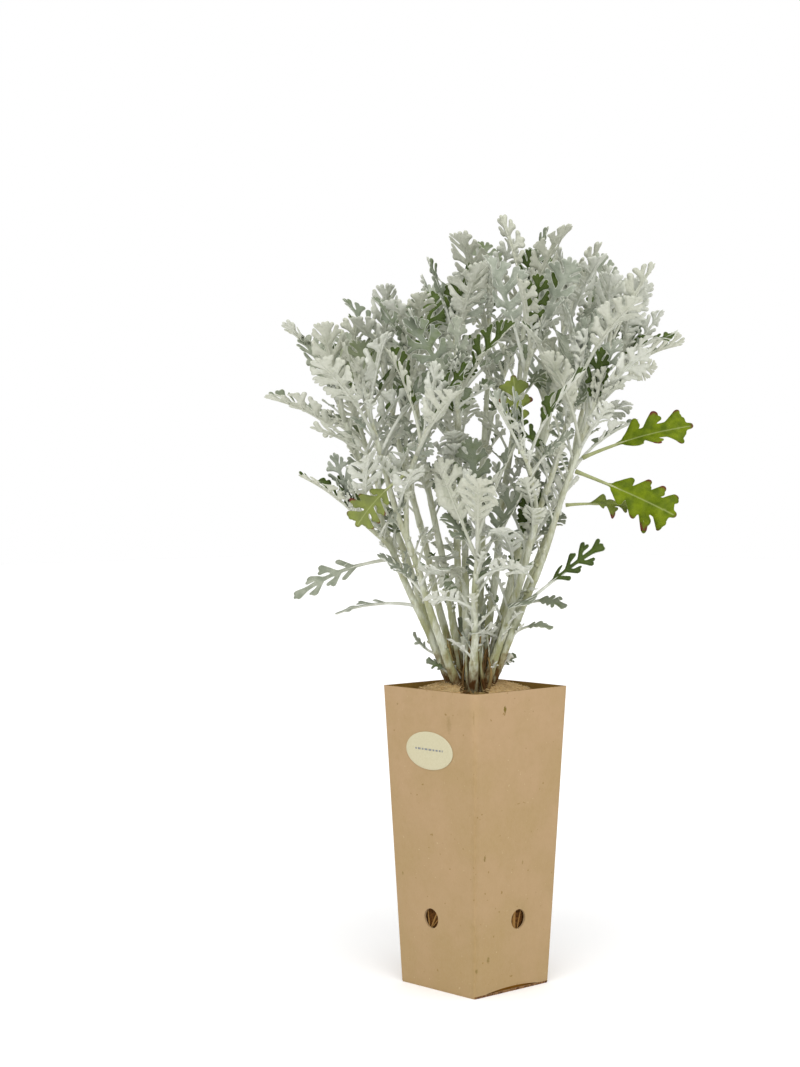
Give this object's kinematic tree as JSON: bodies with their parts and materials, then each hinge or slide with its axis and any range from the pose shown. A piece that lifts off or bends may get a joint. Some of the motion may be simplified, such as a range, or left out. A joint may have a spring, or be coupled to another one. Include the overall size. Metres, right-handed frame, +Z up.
{
  "type": "potted dusty miller",
  "caption": "Silver-leaved bedding plant with deeply lobed felted leaves on a fan of upright stems, standing in a tall square tapered cardboard pot with drain holes and an oval label",
  "frame": {"origin": "middle of the pot's flat base, on the surface that it stands on", "axes": "+Z up; the pot's four faces look along +X, -X, +Y and -Y; the label is on the -Y face and the open lower edge under the +X face"},
  "size_m": [0.2687, 0.2955, 0.5307],
  "materials": {
    "board": "uncoated kraft micro-corrugated board",
    "paper": "matt paper sticker",
    "earth": "damp peat and bark potting soil with roots",
    "coir": "loose needled coir felt",
    "bark": "rough woody bark",
    "felted_foliage": "matt silver-white felt over grey-green leaf",
    "green_foliage": "soft satin leaf with little felt"
  },
  "bodies": {
    "root": {"carton_pot": "board", "label": "paper", "root_ball": "earth", "coir_mat": "coir", "root_crown": "bark", "stem_01": "felted_foliage", "stem_02": "felted_foliage", "stem_03": "felted_foliage", "stem_04": "felted_foliage", "stem_05": "felted_foliage", "stem_06": "felted_foliage", "stem_07": "felted_foliage", "stem_08": "felted_foliage", "stem_09": "felted_foliage", "stem_10": "felted_foliage", "stem_11": "felted_foliage", "stem_12": "felted_foliage", "stem_13": "felted_foliage", "stem_14": "felted_foliage", "stem_15": "felted_foliage", "stem_16": "felted_foliage", "green_leaf_1": "green_foliage", "green_leaf_2": "green_foliage", "green_leaf_3": "green_foliage", "green_leaf_4": "green_foliage", "green_leaf_5": "green_foliage"}
  },
  "joints": []
}
